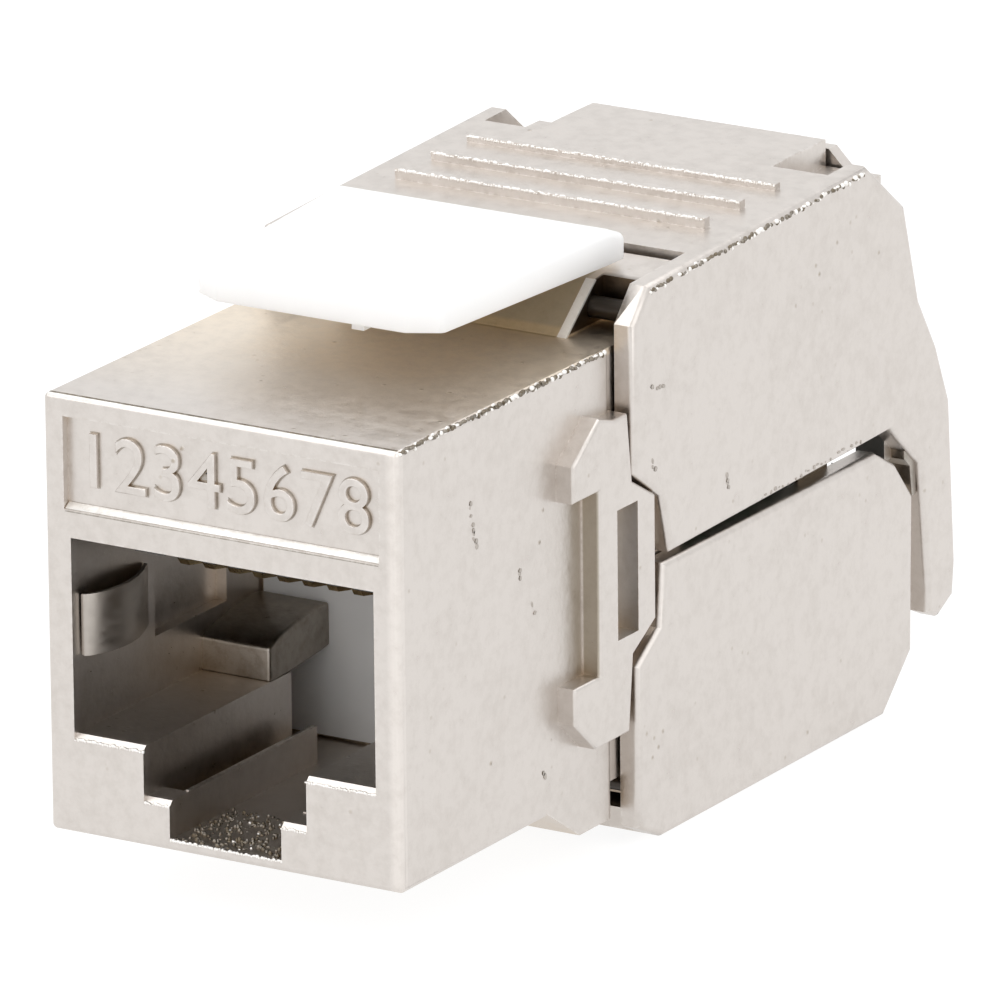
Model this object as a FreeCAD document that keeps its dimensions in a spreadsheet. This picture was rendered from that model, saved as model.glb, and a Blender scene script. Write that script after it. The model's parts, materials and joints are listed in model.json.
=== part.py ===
import FreeCAD, Part
import math
import os
import re
import Sketcher

# A shielded, toolless keystone jack. X runs across the port, Y from the port face to the cable,
# Z up. The origin is the centre of the port face. All lengths are in millimetres.

doc = FreeCAD.newDocument("KeystoneJack")
sheet = doc.addObject("Spreadsheet::Sheet", "Sizes")

sizes = {
    # die-cast housing: front body
    "bodyWidth": 14.5, "bodyHeight": 16.0, "bodyDepth": 14.2, "bodyRound": 0.2,
    "rearRound": 0.4,
    # plug port, its latch channel and key slot
    "portWidth": 12.4, "portTop": 2.85, "portHeight": 7.2, "portDepth": 12.4, "portBevel": 0.2,
    "channelWidth": 6.7, "channelDrop": 1.85, "keyWidth": 4.6, "keyDrop": 1.4,
    "chamberLength": 2.7, "grooveFront": 1.3, "grooveRail": 0.22, "grooveDepth": 1.1,
    # bare label recess above the port
    "labelMargin": 0.8, "labelTopMargin": 0.75, "labelHeight": 3.2, "labelDepth": 0.32,
    "labelBevel": 0.2,
    # neck behind the body, with the hinge blocks above and below
    "neckInset": 0.15, "neckBrowRise": 1.6, "neckTopRise": 1.9, "neckSoleDrop": 1.5,
    "neckRoot": 1.0, "neckWall": 0.8, "neckBoreHeight": 9.2, "backWall": 1.0,
    "windowWidth": 10.6, "windowHeight": 1.65,
    # fixed catch under the body
    "catchDrop": 1.3,
    # ears on both sides of the body
    "earRoot": 0.35, "earChannelHalf": 3.4, "earShoulder": 4.75, "earCrown": 6.05, "earTip": 5.75,
    "earTailHalf": 2.3, "earTailSlope": 0.9, "earSlotHalf": 2.4, "earSole": 6.0, "earRound": 0.15,
    # hinge pins of the two covers
    "pinRadius": 0.4, "pinGrip": 0.4, "pinRoot": 1.85, "pinSeat": 0.02, "pinPlay": 0.06,
    "pinEnd": 0.1, "pocketLength": 1.85,
    # both covers
    "coverPlay": 0.1, "coverWall": 0.8, "coverRound": 0.25, "coverGap": 0.3, "lidGap": 0.35,
    "lidRise": 0.35, "capPlay": 0.3,
    # upper cover side plate
    "upperJawGap": 0.15, "upperNotchDrop": 0.25, "upperFoot": -0.17, "upperFootEnd": 0.15,
    "tailRootHeight": -1.7, "tailKnee": -6.6, "tailToe": -7.55, "tailSole": -7.9,
    "tailHeelHeight": -7.35, "tailBackHeight": -6.05, "tailNapeHeight": 0.2,
    "tailHipHeight": 2.5, "tailBendHeight": 4.55,
    # upper cover lid: tongue, corner notches, ribs and rear wall
    "tongueWidth": 9.8, "tongueDrop": 1.5, "shelfWall": 0.5, "ribWidth": 12.9,
    "ribDepth": 0.36, "ribHeight": 0.12, "ribRound": 0.08, "ribPitch": 2.47, "rearSlit": 0.2, "rearWall": 0.6,
    "rearWallDrop": 0.05, "rearWallFoot": -1.4, "entryWidth": 12.0, "entryTop": 4.2,
    "entryBevel": 2.6,
    # lower cover
    "lowerCheekGap": 0.6, "lowerNotchGap": 0.45, "lowerLip": 0.43, "lowerBend": 1.2,
    "lowerRearTop": 2.7, "saddleWidth": 10.0, "saddleDepth": 3.5, "saddleBevel": 2.0,
    "lowerRearWall": 0.8,
    # sprung panel latch and its foot
    "latchFront": 6.0, "latchFrontWidth": 10.1, "latchRearWidth": 11.5, "latchLift": 0.3,
    "latchFrontLift": 0.02, "latchFrontThick": 1.08, "latchThick": 1.25, "latchNapeDrop": 0.35,
    "latchRearDrop": 0.45, "latchRound": 0.3, "latchCornerWidth": 1.2,
    "latchCornerDepth": 0.65, "latchHeelCorner": 0.6, "nubPlace": 1.5, "nubWidth": 0.5, "nubDrop": 0.28,
    "footWidth": 8.0, "footDepth": 1.3, "footPlay": 0.05, "footGap": 0.22,
    # contact carrier with its comb
    "carrierPlay": 0.1, "carrierLength": 4.0, "carrierRoot": 1.6, "tongueFront": 2.4,
    "combSideGap": 0.2, "combThick": 0.85, "combTopGap": 0.1, "combSlot": 0.56,
    "combDepth": 0.4,
    # spring contacts of the port
    "contactPitch": 1.02, "contactWidth": 0.4, "contactThick": 0.3, "contactFront": 2.9,
    "contactBend": 0.35, "contactEnd": 0.2, "contactLegClear": 1.8, "contactLegDrop": 2.6,
    "contactSeat": 0.05,
    # ground springs on the port's side walls
    "springThick": 0.22, "springSeat": 0.03, "springFront": 0.5, "springRear": 4.6,
    "springCrest": 1.6, "springBulge": 0.6, "springFootGap": 2.75, "springTopGap": 2.17,
    "springPitFront": 5.3, "springPitRear": 10.0, "springPitDrop": 0.65, "springPitDepth": 0.45,
    # circuit board
    "boardInset": 0.3, "boardThick": 1.2, "boardLength": 14.4, "boardPlay": 0.05,
    # blocks holding the wire blades
    "blockLength": 11.4, "blockHeight": 3.9, "wirePitch": 2.9, "wireSlot": 1.1,
    "wireSlotDepth": 2.0, "bladeSetback": 6.4, "bladeWidth": 1.8, "bladeThick": 0.35,
    "bladeTop": 6.0, "bladeGap": 0.36, "bladeGapFloor": 3.3, "bladePlay": 0.05,
    # wire caps under the covers
    "capInset": 0.6, "capLead": 3.8, "capLift": 0.3, "capSlot": 1.2, "capSlotDepth": 1.3,
    "capSlitFront": 1.1, "capSlitRear": 0.6, "capSlitHeight": 2.2,
}

# stations given by their distance behind the rear face of the front body
behindBody = {
    "catchFront": -4.4, "catchCrest": -2.4, "neckBrow": 2.3, "neckRear": 4.85, "hingeStation": 2.1, "pocketRear": 2.85,
    "earFront": -3.8, "earChannel": -2.1, "earSlope": -2.0, "earTipFront": -1.0,
    "earBack": -0.1, "earTail": 1.75, "earSlotFront": -0.9, "earSlotRear": 0.5,
    "earSoleFront": -2.4,
    "upperBrowFront": 1.4, "upperNotchRear": 2.2, "upperFootFront": 2.8,
    "upperFootRear": 18.3, "tailRoot": 20.5, "tailInner": 21.05, "tailSoleFront": 21.8,
    "tailHeel": 22.9, "tailBack": 23.05, "tailNape": 22.65, "tailHip": 21.7,
    "tailBend": 20.45, "crownRear": 19.4, "crownFront": 16.7,
    "tongueRear": 19.0, "notchFront": 15.2, "ribFront": 7.8,
    "lowerSoleFront": 2.1, "lowerCheekFront": 0.5, "lowerNotchRear": 2.05,
    "lowerLipFront": 2.3, "lowerLipRear": 17.3, "lowerBendRear": 18.7, "lowerRear": 19.95,
    "lowerHeelRear": 19.85, "lowerSoleRear": 17.8,
    "latchHeel": 2.4, "latchCrest": 2.6, "latchNape": 3.5, "latchRear": 4.05,
    "footFront": 2.75, "footRear": 4.0,
}

# distances from the centre plane given by how far they lie beyond the body's top or sole
beyondBody = {
    "hingeHeight": 0.7, "upperBrow": 2.0, "upperCheek": 0.8, "lidHeight": 2.15,
    "crownRearHeight": 0.35, "lowerChin": 1.8, "lowerHeel": 0.6, "lowerSole": 2.55,
}

# names for what follows from other sizes
followers = {
    "chamberFront": "portDepth - chamberLength",
    "labelWidth": "bodyWidth - 2 * labelMargin",
    "labelBase": "bodyHeight / 2 - labelTopMargin - labelHeight",
    "neckWidth": "bodyWidth - 2 * neckInset",
    "neckFoot": "bodyDepth + coverGap",
    "neckBoreWidth": "neckWidth - 2 * neckWall",
    "coverInner": "neckWidth / 2 + coverPlay",
    "coverOuter": "coverInner + coverWall",
    "lidFront": "neckRear + lidGap",
    "pocketInner": "neckWidth / 2 - pocketLength",
    "pinInner": "pocketInner - pinRoot",
    "pinOuter": "coverInner + pinGrip",
    "upperJaw": "earTailHalf + earTailSlope + upperJawGap",
    "upperNotch": "earTailHalf - upperNotchDrop",
    "lowerCheek": "earTailHalf + earTailSlope + lowerCheekGap",
    "lowerNotch": "earTailHalf + lowerNotchGap",
    "rearWallTop": "lidHeight - rearWallDrop",
    "latchBase": "bodyHeight / 2 + neckTopRise + latchLift",
    "latchFrontBase": "latchBase + latchFrontLift",
    "latchFrontTop": "latchFrontBase + latchFrontThick",
    "latchCrestHeight": "latchBase + latchThick",
    "latchNapeHeight": "latchCrestHeight - latchNapeDrop",
    "latchRearHeight": "latchNapeHeight - latchRearDrop",
    "carrierFront": "portDepth + backWall + carrierPlay",
    "carrierRear": "carrierFront + carrierLength",
    "combWidth": "windowWidth - 2 * combSideGap",
    "contactRear": "carrierFront - contactEnd",
    "contactLegRear": "portDepth - contactLegClear",
    "contactLegEnd": "portTop - contactLegDrop",
    "springBase": "portTop - portHeight + springFootGap",
    "springTop": "portTop - springTopGap",
    "boardWidth": "neckBoreWidth - 2 * boardInset",
    "boardFront": "carrierFront + carrierRoot",
    "boardRear": "boardFront + boardLength",
    "blockWidth": "neckBoreWidth - 2 * carrierPlay",
    "blockFront": "carrierRear + carrierPlay",
    "blockRear": "blockFront + blockLength",
    "bladeStation": "blockFront + bladeSetback",
    "capWidth": "2 * (coverInner - capInset)",
    "capFront": "bladeStation - capLead",
}

cells = {**sizes, **behindBody, **beyondBody}
for row, (alias, value) in enumerate(cells.items(), start=1):
    sheet.set(f"A{row}", alias)
    sheet.set(f"B{row}", str(value))
    sheet.setAlias(f"B{row}", alias)
doc.recompute()

PLANES = {"X": "YZ_Plane", "Y": "XZ_Plane", "Z": "XY_Plane"}
nodes = []


def link(text):
    """Turn a formula of plain names into one that reads the sheet."""
    def read(word):
        name = word.group()
        if name in followers:
            return f"({link(followers[name])})"
        if name in behindBody:
            return f"(Sizes.bodyDepth + Sizes.{name})"
        if name in beyondBody:
            return f"(Sizes.bodyHeight / 2 + Sizes.{name})"
        return "Sizes." + name
    return re.sub(r"[A-Za-z]\w*", read, text)


def newBody(name):
    body = doc.addObject("PartDesign::Body", "Body_" + name)
    body.Label = name
    nodes.append(body)
    return body


def newSketch(body, axis, start, name):
    """Make a sketch across the axis, at the station given by the formula start."""
    sketch = body.newObject("Sketcher::SketchObject", name)
    plane = next(item for item in body.Origin.OriginFeatures if item.Role == PLANES[axis])
    sketch.AttachmentSupport = (plane, "")
    sketch.MapMode = "FlatFace"
    # the normal of the XZ plane points to -Y
    sign = "-1" if axis == "Y" else "1"
    sketch.setExpression("AttachmentOffset.Base.z", f"{sign} * ({link(start)})")
    sketch.Visibility = False
    return sketch


def place(sketch, element, point, spot, corner):
    """Tie one point of the sketch to a pair of formulas."""
    for kind, value, text in (("DistanceX", spot.x, corner[0]), ("DistanceY", spot.y, corner[1])):
        limit = sketch.addConstraint(Sketcher.Constraint(kind, -1, 1, element, point, value))
        sketch.setExpression(f"Constraints[{limit}]", link(text))


def drawOutline(sketch, corners):
    """Draw a closed outline. It starts as a regular one and its corners move to their formulas."""
    count = len(corners)
    first = sketch.GeometryCount
    turns = [2 * math.pi * (index + 0.3) / count for index in range(count)]
    spots = [FreeCAD.Vector(math.cos(turn), math.sin(turn), 0) for turn in turns]
    for index in range(count):
        sketch.addGeometry(Part.LineSegment(spots[index], spots[(index + 1) % count]))
    for index in range(count):
        following = first + (index + 1) % count
        sketch.addConstraint(Sketcher.Constraint("Coincident", first + index, 2, following, 1))
    for index, corner in enumerate(corners):
        place(sketch, first + index, 1, spots[index], corner)


def drawCircle(sketch, centre, radius):
    spot = FreeCAD.Vector(0.7, 0.6, 0)
    element = sketch.addGeometry(Part.Circle(spot, FreeCAD.Vector(0, 0, 1), 1))
    place(sketch, element, 3, spot, centre)
    limit = sketch.addConstraint(Sketcher.Constraint("Radius", element, 1.0))
    sketch.setExpression(f"Constraints[{limit}]", link(radius))


def extrude(body, kind, axis, start, finish, name, outlines=(), circles=()):
    """Pad or pocket outlines along the axis, from the station start to the station finish."""
    sketch = newSketch(body, axis, start, name + "Sketch")
    for corners in outlines:
        drawOutline(sketch, corners)
    for centre, radius in circles:
        drawCircle(sketch, centre, radius)
    feature = body.newObject("PartDesign::" + kind, name)
    feature.Profile = sketch
    feature.setExpression("Length", f"({link(finish)}) - ({link(start)})")
    feature.Reversed = (axis == "Y") == (kind == "Pad")
    doc.recompute()
    return feature


def pad(body, axis, start, finish, name, *outlines):
    return extrude(body, "Pad", axis, start, finish, name, outlines)


def pocket(body, axis, start, finish, name, *outlines):
    """Cut outlines out of the body and make sure that something was cut."""
    before = body.Shape.Volume
    feature = extrude(body, "Pocket", axis, start, finish, name, outlines)
    if body.Shape.Volume > before - 1e-6:
        raise ValueError(name + " cuts nothing")
    return feature


def rectangle(left, right, low, high):
    return [(left, low), (right, low), (right, high), (left, high)]


def centred(width, low, high):
    return rectangle(f"-({width}) / 2", f"({width}) / 2", low, high)


def roundEdges(body, radius, name, chosen):
    """Round the edges of the body's present solid that pass the test."""
    base = body.Tip
    edges = [f"Edge{index}" for index, edge in enumerate(base.Shape.Edges, start=1) if chosen(edge)]
    fillet = body.newObject("PartDesign::Fillet", name)
    fillet.Base = (base, edges)
    fillet.setExpression("Radius", link(radius))
    return fillet


def isRim(body):
    """Give a test for edges that lie in either outer side plane of the body."""
    width = body.Shape.BoundBox.XLength

    def test(edge):
        box = edge.BoundBox
        across = max(abs(box.XMin), abs(box.XMax))
        return box.XLength < 1e-6 and abs(across - width / 2) < 1e-6
    return test


def newBox(name, size, corner):
    box = doc.addObject("Part::Box", "Box_" + name)
    box.Label = name
    for side, text in zip(("Length", "Width", "Height"), size):
        box.setExpression(side, link(text))
    for letter, text in zip("xyz", corner):
        box.setExpression(f"Placement.Base.{letter}", link(text))
    nodes.append(box)
    return box


def value(name):
    return sheet.get(name)


def sideSigns():
    return (("left", "-1"), ("right", "1"))


def makeHousing():
    body = newBody("front_housing")
    pad(body, "Y", "0", "bodyDepth", "FrontBody",
        centred("bodyWidth", "-bodyHeight / 2", "bodyHeight / 2"))

    catch = [("catchFront", "-bodyHeight / 2"), ("catchCrest", "-bodyHeight / 2 - catchDrop"),
             ("bodyDepth", "-bodyHeight / 2 - catchDrop"), ("bodyDepth", "0"),
             ("catchFront", "0")]
    pad(body, "X", "-bodyWidth / 2", "bodyWidth / 2", "Catch", catch)

    def isLong(edge):
        return edge.BoundBox.YMin < 1e-6

    def isUpright(edge):
        box = edge.BoundBox
        return box.ZLength > value("bodyHeight") / 2 and box.YMin > value("bodyDepth") - 1e-6

    roundEdges(body, "bodyRound", "BodyRounding", isLong)
    doc.recompute()
    roundEdges(body, "rearRound", "RearRounding", isUpright)
    addNeck(body)
    addEars(body)
    cutPort(body)
    cutLabel(body)
    cutNeck(body)
    return body


def addNeck(body):
    brow = "bodyHeight / 2 + neckBrowRise"
    top = "bodyHeight / 2 + neckTopRise"
    root = "bodyDepth - neckRoot"
    upper = [(root, "bodyHeight / 2"), ("neckFoot", "bodyHeight / 2"), ("neckBrow", brow),
             ("neckRear", top)]
    sole = "-bodyHeight / 2 - neckSoleDrop"
    lower = [("neckRear", sole), ("neckBrow", sole), ("neckFoot", "-bodyHeight / 2"),
             (root, "-bodyHeight / 2")]
    pad(body, "X", "-neckWidth / 2", "neckWidth / 2", "Neck", upper + lower)


def addEars(body):
    ear = [
        ("earFront", "earChannelHalf"), ("earFront", "earShoulder"), ("earSlope", "earCrown"),
        ("earTipFront", "earTip"), ("earBack", "earTip"),
        ("earBack + coverGap", "earTailHalf + earTailSlope"), ("earTail", "earTailHalf"),
        ("earTail", "-earTailHalf"), ("earBack + coverGap", "-earTailHalf - earTailSlope"),
        ("earBack", "-earSole"), ("earSoleFront", "-earSole"), ("earFront", "-earShoulder"),
        ("earFront", "-earChannelHalf"), ("earChannel", "-earChannelHalf"),
        ("earChannel", "earChannelHalf"),
    ]
    inner = "bodyWidth / 2 - earRoot"
    outer = "coverOuter"
    slot = rectangle("earSlotFront", "earSlotRear", "-earSlotHalf", "earSlotHalf")
    pad(body, "X", inner, outer, "EarRight", ear)
    pad(body, "X", f"-({outer})", f"-({inner})", "EarLeft", ear)
    roundEdges(body, "earRound", "EarRounding", isRim(body))
    pocket(body, "X", "neckWidth / 2", outer, "EarSlotRight", slot)
    pocket(body, "X", f"-({outer})", "-neckWidth / 2", "EarSlotLeft", slot)


def cutPort(body):
    floor = "portTop - portHeight"
    ledge = f"{floor} - channelDrop"
    pocket(body, "Y", "0", "portDepth", "Port", centred("portWidth", floor, "portTop"))
    pocket(body, "Y", "0", "portDepth", "LatchChannel", centred("channelWidth", ledge, floor))
    pocket(body, "Y", "0", "portDepth", "KeySlot",
           centred("keyWidth", f"{ledge} - keyDrop", ledge))
    pocket(body, "Y", "chamberFront", "portDepth", "Chamber",
           centred("portWidth", f"{ledge} - keyDrop", floor))
    groove = rectangle("keyWidth / 2 + grooveRail", "channelWidth / 2",
                       f"{ledge} - grooveDepth", ledge)
    mirrored = [(f"-({across})", high) for across, high in groove]
    pocket(body, "Y", "grooveFront", "chamberFront", "ChannelGrooves", groove, mirrored)
    for name, width, edge in (("PortBevel", "portWidth", floor),
                              ("ChannelBevel", "channelWidth", ledge)):
        bevel = [("0", edge), ("portBevel", edge), ("0", f"{edge} - portBevel")]
        pocket(body, "X", f"-{width} / 2", f"{width} / 2", name, bevel)


def cutLabel(body):
    pocket(body, "Y", "0", "labelDepth", "LabelRecess",
           centred("labelWidth", "labelBase", "labelBase + labelHeight"))
    bevel = [("0", "labelBase"), ("labelDepth", "labelBase"), ("0", "labelBase - labelBevel")]
    pocket(body, "X", "-labelWidth / 2", "labelWidth / 2", "LabelBevel", bevel)


def cutNeck(body):
    half = "neckBoreHeight / 2"
    pocket(body, "Y", "portDepth + backWall", "neckRear", "NeckBore",
           centred("neckBoreWidth", f"-{half}", half))
    pocket(body, "Y", "portDepth", "portDepth + backWall", "CarrierWindow",
           centred("windowWidth", "portTop - windowHeight", "portTop"))
    pocket(body, "Z", "latchBase - footGap - footDepth - footPlay", "bodyHeight / 2 + neckTopRise",
           "FootSeat", centred("footWidth + 2 * footPlay", "footFront - footPlay",
                               "footRear + footPlay"))
    pit = rectangle("springPitFront", "springPitRear", "springBase - springPitDrop",
                    "springTop")
    wall = "portWidth / 2"
    pocket(body, "X", wall, f"{wall} + springPitDepth", "SpringPitRight", pit)
    pocket(body, "X", f"-{wall} - springPitDepth", f"-{wall}", "SpringPitLeft", pit)
    for side, sign in sideSigns():
        for level, up in (("Upper", "1"), ("Lower", "-1")):
            ends = (f"{sign} * pocketInner", f"{sign} * neckWidth / 2")
            start, finish = ends if sign == "1" else ends[::-1]
            corners = rectangle("neckFoot", "pocketRear", f"{up} * bodyHeight / 2",
                                f"{up} * (bodyHeight / 2 + neckTopRise)")
            pocket(body, "X", start, finish, f"HingePocket{level}{side.title()}", corners)
        ends = (f"{sign} * (pinInner - pinEnd)", f"{sign} * neckWidth / 2")
        start, finish = ends if sign == "1" else ends[::-1]
        extrude(body, "Pocket", "X", start, finish, "PinBores" + side.title(),
                circles=[(("hingeStation", "hingeHeight"), "pinRadius + pinSeat"),
                         (("hingeStation", "-hingeHeight"), "pinRadius + pinSeat")])


def makePins():
    for level, up in (("upper", "1"), ("lower", "-1")):
        for side, sign in sideSigns():
            name = f"{level}_hinge_pin_{side}"
            pin = doc.addObject("Part::Cylinder", "Pin_" + name)
            pin.Label = name
            pin.setExpression("Radius", link("pinRadius"))
            pin.setExpression("Height", link("pinOuter - pinInner"))
            start = "pinInner" if sign == "1" else "-pinOuter"
            pin.Placement = FreeCAD.Placement(FreeCAD.Vector(),
                                              FreeCAD.Rotation(FreeCAD.Vector(0, 1, 0), 90))
            pin.setExpression("Placement.Base.x", link(start))
            pin.setExpression("Placement.Base.y", link("hingeStation"))
            pin.setExpression("Placement.Base.z", link(f"{up} * hingeHeight"))
            nodes.append(pin)


def cutPinSockets(body, up):
    """Blind sockets for the two pins in the inner faces of a cover's side plates."""
    inner = "coverInner"
    centre = ("hingeStation", f"{up} * hingeHeight")
    for side, sign in sideSigns():
        ends = (f"{sign} * ({inner})", f"{sign} * (pinOuter + pinEnd)")
        start, finish = ends if sign == "1" else ends[::-1]
        extrude(body, "Pocket", "X", start, finish, "PinSocket" + side.title(),
                circles=[(centre, "pinRadius + pinPlay")])


def makeUpperCover():
    body = newBody("upper_cover")
    inner = "coverInner"
    outer = "coverOuter"
    plate = [
        ("upperBrowFront", "upperBrow"), ("bodyDepth + coverGap", "upperCheek"),
        ("bodyDepth + coverGap", "upperJaw"), ("upperNotchRear", "upperNotch"),
        ("upperFootFront", "upperFoot"), ("upperFootRear", "upperFootEnd"),
        ("tailRoot", "tailRootHeight"), ("tailInner", "tailKnee"), ("tailInner", "tailToe"),
        ("tailSoleFront", "tailSole"), ("tailHeel", "tailHeelHeight"),
        ("tailBack", "tailBackHeight"), ("tailNape", "tailNapeHeight"),
        ("tailHip", "tailHipHeight"), ("tailBend", "tailBendHeight"),
        ("crownRear", "crownRearHeight"), ("crownFront", "lidHeight + lidRise"),
        ("lidFront", "lidHeight"),
    ]
    lid = [
        ("lidFront", "lidHeight"), ("crownFront", "lidHeight + lidRise"),
        ("tongueRear", "lidHeight + lidRise"), ("tongueRear", "lidHeight - coverWall"),
        ("lidFront", "lidHeight - coverWall"),
    ]
    pad(body, "X", inner, outer, "PlateRight", plate)
    pad(body, "X", f"-{outer}", f"-({inner})", "PlateLeft", plate)
    pad(body, "X", f"-({inner})", inner, "Lid", lid)
    roundEdges(body, "coverRound", "RimRounding", isRim(body))
    top = "lidHeight + lidRise"
    notch = [("tongueWidth / 2", "notchFront"), (inner, "notchFront"), (inner, "tongueRear"),
             ("tongueWidth / 2", "tongueRear")]
    mirrored = [(f"-({across})", along) for across, along in notch]
    pocket(body, "Z", "lidHeight - coverWall", top, "CornerNotches", notch, mirrored)
    addTongueWalls(body, top)
    addRearWall(body, inner)
    for index in range(3):
        front = f"ribFront + {index} * ribPitch"
        rib = rectangle(front, f"{front} + ribDepth", "lidHeight", f"{top} + ribHeight")
        pad(body, "X", "-ribWidth / 2", "ribWidth / 2", f"Rib{index + 1}", rib)
    cutPinSockets(body, "1")
    return body


def addTongueWalls(body, top):
    """Walls under both sides of the tongue."""
    outer = "tongueWidth / 2"
    wall = rectangle("notchFront - coverWall", "tongueRear", f"{top} - tongueDrop",
                     "lidHeight - coverWall / 2")
    shelf = rectangle("notchFront - coverWall", "tongueRear", f"{top} - tongueDrop",
                      f"{top} - tongueDrop + shelfWall")
    pad(body, "X", f"{outer} - coverWall", "coverInner", "ShelfRight", shelf)
    pad(body, "X", "-coverInner", f"-{outer} + coverWall", "ShelfLeft", shelf)
    pad(body, "X", f"{outer} - coverWall", outer, "TongueWallRight", wall)
    pad(body, "X", f"-{outer}", f"-{outer} + coverWall", "TongueWallLeft", wall)


def addRearWall(body, inner):
    """The wall behind the tongue, with chamfered corners and the arch of the cable entry."""
    front = "tongueRear + rearSlit"
    half = "tongueWidth / 2"
    side = f"rearWallTop - ({inner} - {half})"
    entry = "entryWidth / 2"
    arch = [
        (f"-({inner})", "rearWallFoot"), (f"-({inner})", side), (f"-{half}", "rearWallTop"),
        (half, "rearWallTop"), (inner, side), (inner, "rearWallFoot"), (entry, "rearWallFoot"),
        (entry, "entryTop - entryBevel"), (f"{entry} - entryBevel", "entryTop"),
        (f"entryBevel - {entry}", "entryTop"), (f"-{entry}", "entryTop - entryBevel"),
        (f"-{entry}", "rearWallFoot"),
    ]
    pad(body, "Y", front, f"{front} + rearWall", "RearWall", arch)


def makeLowerCover():
    body = newBody("lower_cover")
    inner = "coverInner"
    outer = "coverOuter"
    plate = [
        ("lowerLipFront", "-lowerLip"), ("lowerLipRear", "-lowerLip"),
        ("lowerBendRear", "-lowerBend"), ("lowerRear", "-lowerRearTop"),
        ("lowerHeelRear", "-lowerHeel"), ("lowerSoleRear", "-lowerSole"),
        ("lowerSoleFront", "-lowerSole"),
        ("lowerCheekFront", "-lowerChin"), ("lowerCheekFront", "-lowerCheek"),
        ("lowerNotchRear", "-lowerNotch"),
    ]
    pad(body, "X", f"-{outer}", outer, "Shell", plate)
    roundEdges(body, "coverRound", "ShellRounding", isRim(body))
    hollow = [
        ("lowerCheekFront", "0"), ("lowerRear - lowerRearWall", "0"),
        ("lowerRear - lowerRearWall", "-lowerHeel"),
        ("lowerSoleRear - coverWall", "-lowerSole + coverWall"),
        ("lowerSoleFront", "-lowerSole + coverWall"), ("lowerSoleFront", "-lowerSole"),
        ("lowerCheekFront", "-lowerSole"),
    ]
    pocket(body, "X", f"-({inner})", inner, "Hollow", hollow)
    half = "saddleWidth / 2"
    low = "-lowerRearTop - saddleDepth"
    saddle = [
        (f"-{half}", "-lowerLip"), (f"-{half}", f"{low} + saddleBevel"),
        (f"saddleBevel - {half}", low), (f"{half} - saddleBevel", low),
        (half, f"{low} + saddleBevel"), (half, "-lowerLip"),
    ]
    pocket(body, "Y", "lowerRear - lowerRearWall", "lowerRear", "Saddle", saddle)
    cutPinSockets(body, "-1")
    return body


def makeLatch():
    body = newBody("panel_latch")
    profile = [
        ("latchFront", "latchFrontBase"), ("latchFront", "latchFrontTop"),
        ("latchCrest", "latchCrestHeight"), ("latchNape", "latchNapeHeight"),
        ("latchRear", "latchRearHeight"), ("latchRear", "latchBase"), ("latchHeel", "latchBase"),
    ]
    pad(body, "X", "-latchRearWidth / 2", "latchRearWidth / 2", "Slab", profile)
    taper = [("latchFrontWidth / 2 - latchCornerWidth", "latchFront"),
             ("latchRearWidth / 2", "latchFront"), ("latchRearWidth / 2", "latchCrest"),
             ("latchFrontWidth / 2", "latchFront + latchCornerDepth")]
    heel = [("latchRearWidth / 2 - latchHeelCorner", "latchRear"),
            ("latchRearWidth / 2", "latchRear - latchHeelCorner"),
            ("latchRearWidth / 2", "latchRear")]
    cuts = [taper, heel]
    cuts += [[(f"-({across})", along) for across, along in cut] for cut in (taper, heel)]
    pocket(body, "Z", "latchBase", "latchCrestHeight", "Taper", *cuts)

    base = body.Shape.BoundBox.ZMin

    def isOuter(edge):
        return edge.BoundBox.ZMax > base + value("latchRound")

    roundEdges(body, "latchRound", "LatchRounding", isOuter)
    nub = rectangle("nubPlace", "nubPlace + nubWidth", "latchFront + latchRound",
                    "latchFront + latchRound + nubWidth")
    pad(body, "Z", "latchFrontBase - nubDrop", "latchFrontBase + latchRound", "MouldingNub", nub)
    foot = newBox("latch_foot",
                  ("footWidth", "footRear - footFront", "footDepth"),
                  ("-footWidth / 2", "footFront", "latchBase - footGap - footDepth"))
    return body, foot


def makeCarrier():
    body = newBody("contact_carrier")
    width = "neckBoreWidth - 2 * carrierPlay"
    half = "neckBoreHeight / 2 - carrierPlay"
    pad(body, "Y", "carrierFront", "carrierRear", "Carrier", centred(width, f"-({half})", half))
    gap = "boardThick / 2 + boardPlay"
    pocket(body, "Y", "boardFront - boardPlay", "carrierRear", "BoardSlot",
           centred("boardWidth + 2 * boardPlay", f"-({gap})", gap))


def makeComb():
    """The tongue under the port's top, with a slot for each contact."""
    body = newBody("contact_comb")
    high = "portTop - combTopGap"
    pad(body, "Y", "tongueFront", "carrierFront", "Comb",
        centred("combWidth", f"{high} - combThick", high))
    slots = []
    for index in range(8):
        middle = f"({index} - 3.5) * contactPitch"
        slots.append(rectangle(f"{middle} - combSlot / 2", f"{middle} + combSlot / 2",
                               f"{high} - combThick", f"{high} - combThick + combDepth"))
    pocket(body, "Y", "tongueFront", "carrierFront", "CombSlots", *slots)


def makeContacts():
    """Eight flat springs: a straight leg in the comb, a bend at the front and a sloping leg."""
    high = "portTop - combTopGap - combThick + combDepth - contactSeat"
    low = f"{high} - contactThick"
    bend = "contactFront + contactBend"
    leg = [
        ("contactRear", high), (bend, high), ("contactFront", f"{high} - contactBend"),
        (bend, f"{high} - 2 * contactBend - contactThick / 2"),
        ("contactLegRear", "contactLegEnd - contactThick"), ("contactLegRear", "contactLegEnd"),
        (bend, f"{low} - contactBend / 2"), (bend, low), ("contactRear", low),
    ]
    for index in range(8):
        body = newBody(f"contact_{index + 1}")
        middle = f"({index} - 3.5) * contactPitch"
        pad(body, "X", f"{middle} - contactWidth / 2", f"{middle} + contactWidth / 2",
            f"Spring{index + 1}", leg)


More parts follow.
